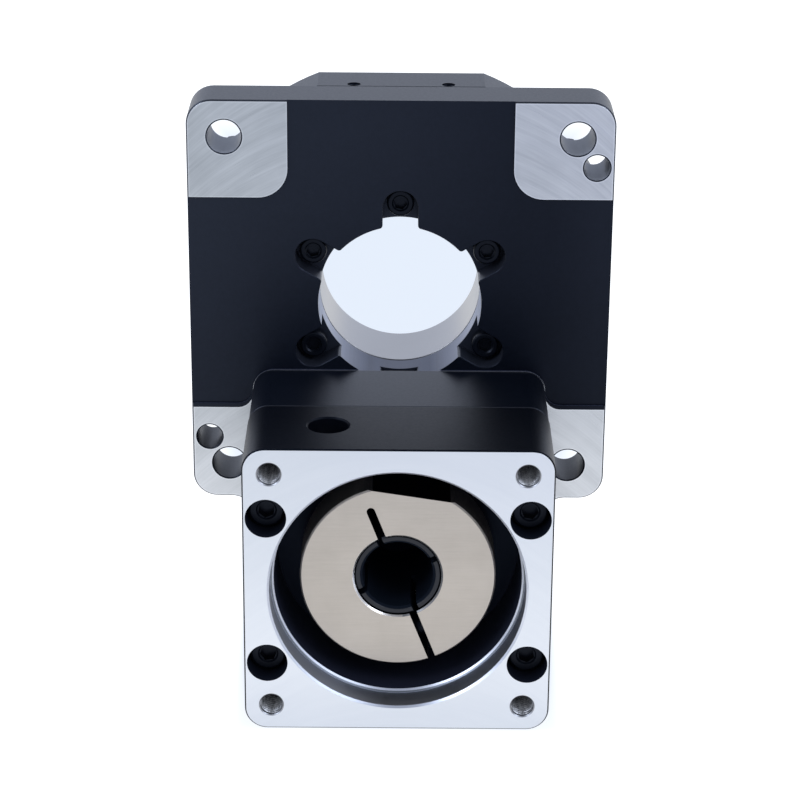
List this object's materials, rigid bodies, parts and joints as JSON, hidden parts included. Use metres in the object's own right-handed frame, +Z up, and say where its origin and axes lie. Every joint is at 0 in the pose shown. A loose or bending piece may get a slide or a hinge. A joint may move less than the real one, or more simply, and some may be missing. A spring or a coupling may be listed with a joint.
{
  "type": "hollow rotary platform",
  "caption": "Square-based hollow rotary platform: a geared turntable round a through hole, driven by a motor mount with a clamp collar beside it.",
  "frame": {"origin": "the hollow's axis at the plane of the bare base pads, which is the centre of the four base holes", "axes": "+Y along the hollow from the base pads to the rotating table, +Z up, away from the motor mount, +X to the right seen from the motor side"},
  "size_m": [0.085, 0.0699, 0.1167],
  "materials": {
    "black_anodised": "satin black anodise, bare milled pads",
    "flange_bright": "bright milled front face, satin black anodised sides",
    "bearing_steel": "ground and polished steel",
    "table_steel": "fine turned steel",
    "gear_steel": "ground tooth flanks",
    "nickel_collar": "satin nickel plating",
    "black_oxide": "black oxide",
    "screw_black": "black oxide screws",
    "spring_steel": "phosphated spring steel",
    "brass_cage": "machined brass",
    "seal_rubber": "moulded nitrile rubber"
  },
  "bodies": {
    "base": {"housing": "black_anodised", "hub": "bearing_steel", "hub_screws": "screw_black", "bearing_block": "black_anodised", "motor_flange": "flange_bright", "mount_screws": "screw_black", "table_seal": "seal_rubber", "hub_seal": "seal_rubber", "front_bearing_outer_ring": "bearing_steel", "front_bearing_shields": "bearing_steel", "rear_bearing_outer_ring": "bearing_steel", "rear_bearing_shields": "bearing_steel", "bearing_circlip": "spring_steel"},
    "turntable": {"table": "table_steel", "outer_race_ring": "bearing_steel", "ring_gear": "gear_steel", "table_screws": "screw_black"},
    "input": {"input_shaft": "black_oxide", "pinion": "gear_steel", "clamp_collar": "nickel_collar", "clamp_screw": "screw_black", "front_bearing_inner_ring": "bearing_steel", "rear_bearing_inner_ring": "bearing_steel", "shaft_circlip": "spring_steel", "pinion_circlip": "spring_steel"},
    "roller_set": {"cross_rollers": "bearing_steel", "roller_cage": "brass_cage"},
    "front_ball_set": {"front_bearing_balls": "bearing_steel", "front_bearing_cage": "brass_cage"},
    "rear_ball_set": {"rear_bearing_balls": "bearing_steel", "rear_bearing_cage": "brass_cage"}
  },
  "joints": [
    {"name": "table_spin", "type": "hinge", "parent": "base", "child": "turntable", "pos_m": [0, 0, 0], "axis": [0, 1, 0], "continuous": true},
    {"name": "input_spin", "type": "hinge", "parent": "base", "child": "input", "pos_m": [0, 0, -0.04416], "axis": [0, 1, 0], "continuous": true},
    {"name": "roller_set_spin", "type": "hinge", "parent": "base", "child": "roller_set", "pos_m": [0, 0, 0], "axis": [0, 1, 0], "continuous": true},
    {"name": "front_ball_spin", "type": "hinge", "parent": "base", "child": "front_ball_set", "pos_m": [0, 0, -0.04416], "axis": [0, 1, 0], "continuous": true},
    {"name": "rear_ball_spin", "type": "hinge", "parent": "base", "child": "rear_ball_set", "pos_m": [0, 0, -0.04416], "axis": [0, 1, 0], "continuous": true}
  ],
  "couplings": [
    {"joint": "input_spin", "follows": "table_spin", "ratio": -5},
    {"joint": "roller_set_spin", "follows": "table_spin", "ratio": 0.52},
    {"joint": "front_ball_spin", "follows": "table_spin", "ratio": -2.118},
    {"joint": "rear_ball_spin", "follows": "table_spin", "ratio": -2.177}
  ]
}
